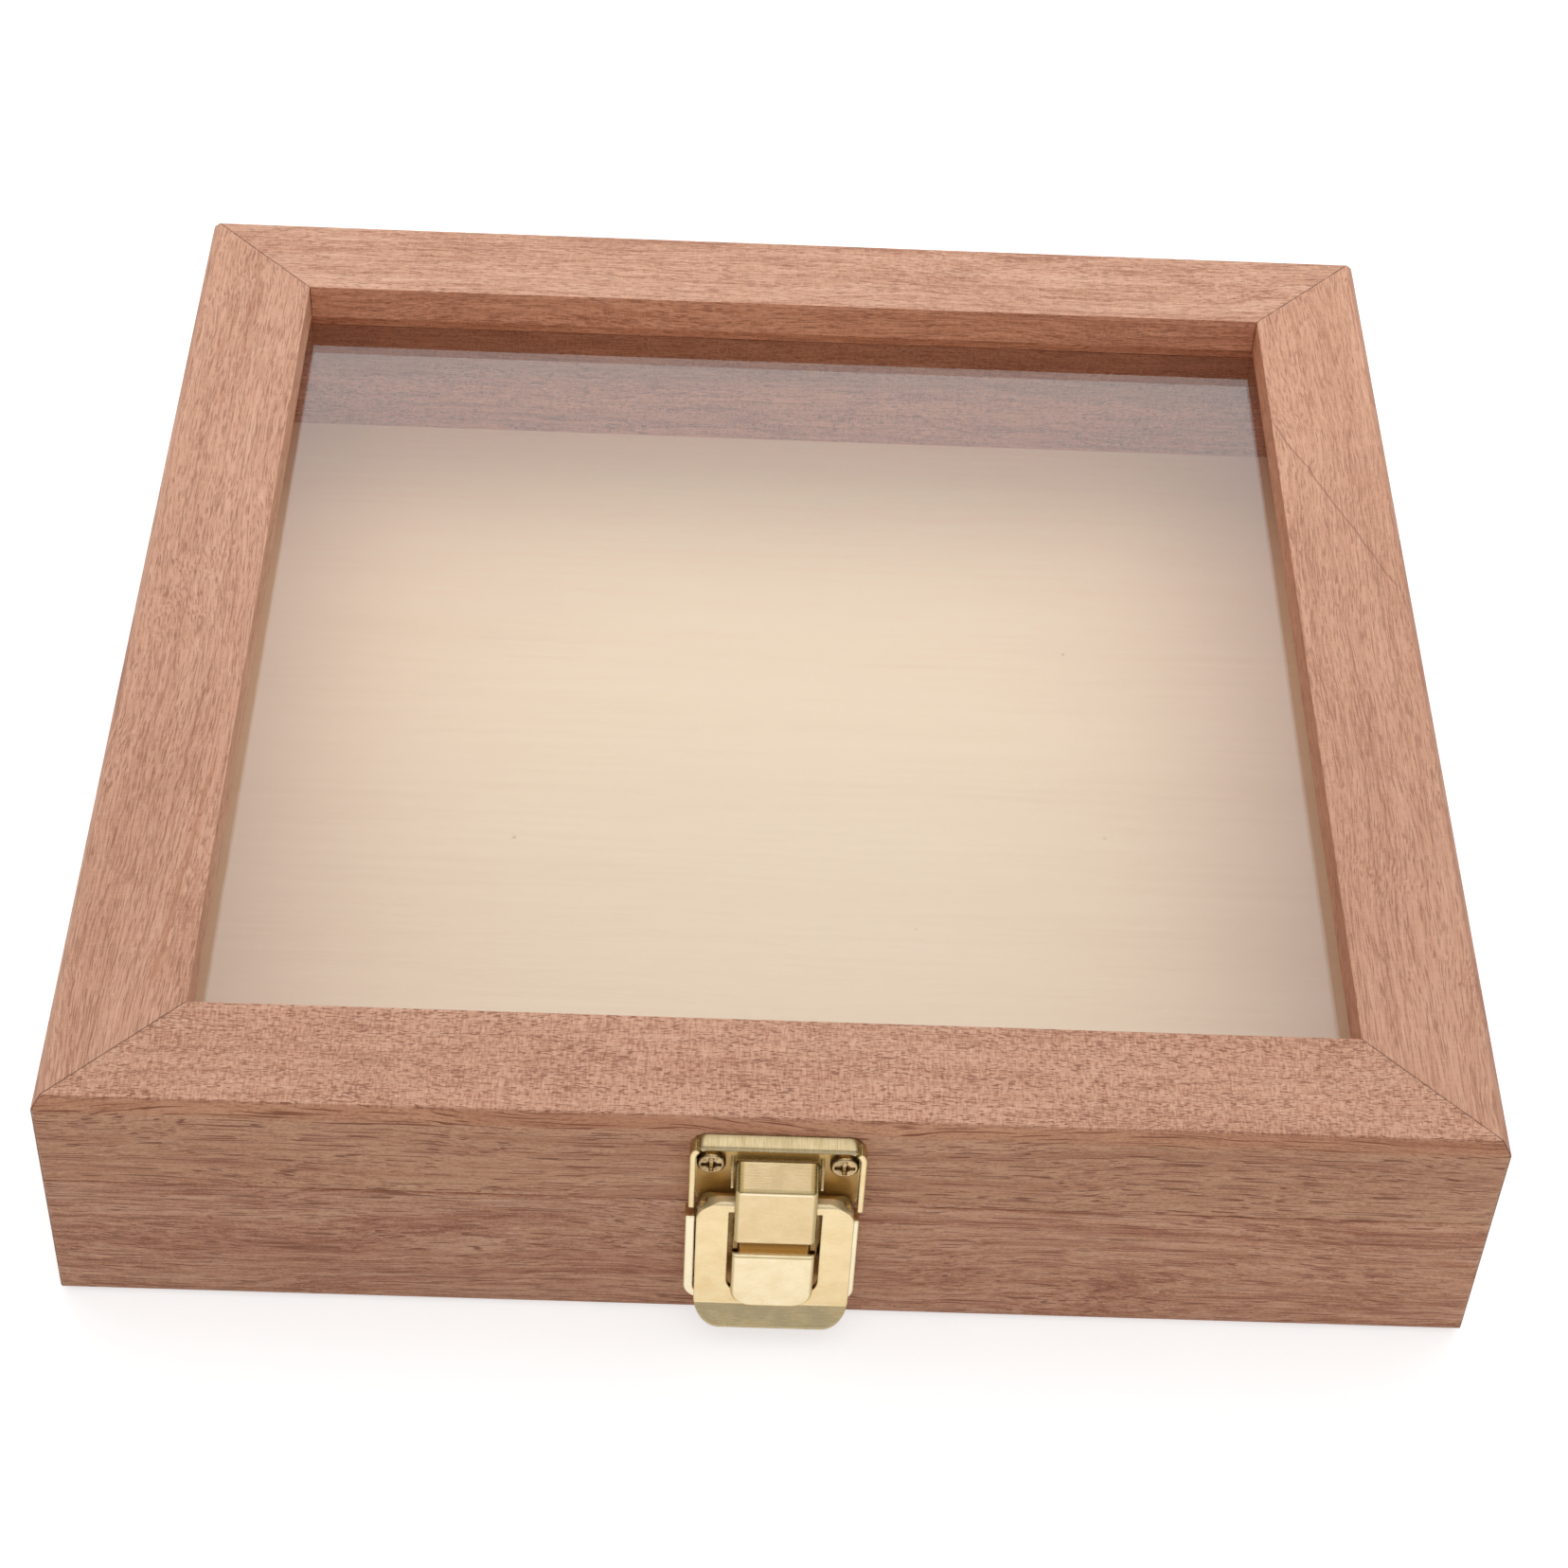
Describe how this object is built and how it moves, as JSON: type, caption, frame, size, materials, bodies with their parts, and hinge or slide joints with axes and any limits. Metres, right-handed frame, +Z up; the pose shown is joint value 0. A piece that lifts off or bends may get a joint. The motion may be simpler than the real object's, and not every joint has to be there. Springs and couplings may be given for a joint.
{
  "type": "wooden jewelry box",
  "caption": "Low square wooden box with a hinged lid frame around a glass pane, a plywood floor and a brass toggle latch at the front.",
  "frame": {"origin": "centre of the base face, on the surface the box stands on", "axes": "+X to the right seen from the latch side, +Y towards the hinges, +Z up, with the lid closed"},
  "size_m": [0.24, 0.2507, 0.05],
  "materials": {
    "wood": "reddish open-grained hardwood, sanded, with a thin matt oil or stain",
    "plywood": "pale raw plywood, sanded, unfinished",
    "glass": "clear polished float glass",
    "brass": "pressed sheet, brass plated, satin brushed",
    "screws": "brass plated steel, slightly bronze",
    "steel": "drawn steel wire"
  },
  "bodies": {
    "box": {"body_front_wall": "wood", "body_back_wall": "wood", "body_left_wall": "wood", "body_right_wall": "wood", "floor_panel": "plywood", "latch_base_plate": "brass", "latch_base_screws": "screws", "lever_pin": "steel", "left_hinge_body_leaf": "brass", "right_hinge_body_leaf": "brass", "left_hinge_pin": "steel", "right_hinge_pin": "steel", "hinge_body_screws": "screws"},
    "lid": {"lid_front_rail": "wood", "lid_back_rail": "wood", "lid_left_rail": "wood", "lid_right_rail": "wood", "glass_pane": "glass", "glazing_bead_front": "wood", "glazing_bead_back": "wood", "glazing_bead_left": "wood", "glazing_bead_right": "wood", "strike_plate": "brass", "strike_screws": "screws", "left_hinge_lid_leaf": "brass", "right_hinge_lid_leaf": "brass", "hinge_lid_screws": "screws"},
    "lever": {"latch_lever": "brass", "claw_pin": "steel"},
    "claw": {"latch_claw": "brass"}
  },
  "joints": [
    {"name": "lid_hinge", "type": "hinge", "parent": "box", "child": "lid", "pos_m": [0, 0.122, 0.02993], "axis": [-1, 0, 0], "range_deg": [0, 105]},
    {"name": "lever_pivot", "type": "hinge", "parent": "box", "child": "lever", "pos_m": [0.0008, -0.12275, 0.0332], "axis": [-1, 0, 0], "range_deg": [0, 88]},
    {"name": "claw_pivot", "type": "hinge", "parent": "lever", "child": "claw", "pos_m": [0.0008, -0.1236, 0.0251], "axis": [1, 0, 0], "range_deg": [0, 71]}
  ],
  "couplings": [
    {"joint": "claw_pivot", "follows": "lever_pivot", "ratio": 0.8}
  ]
}
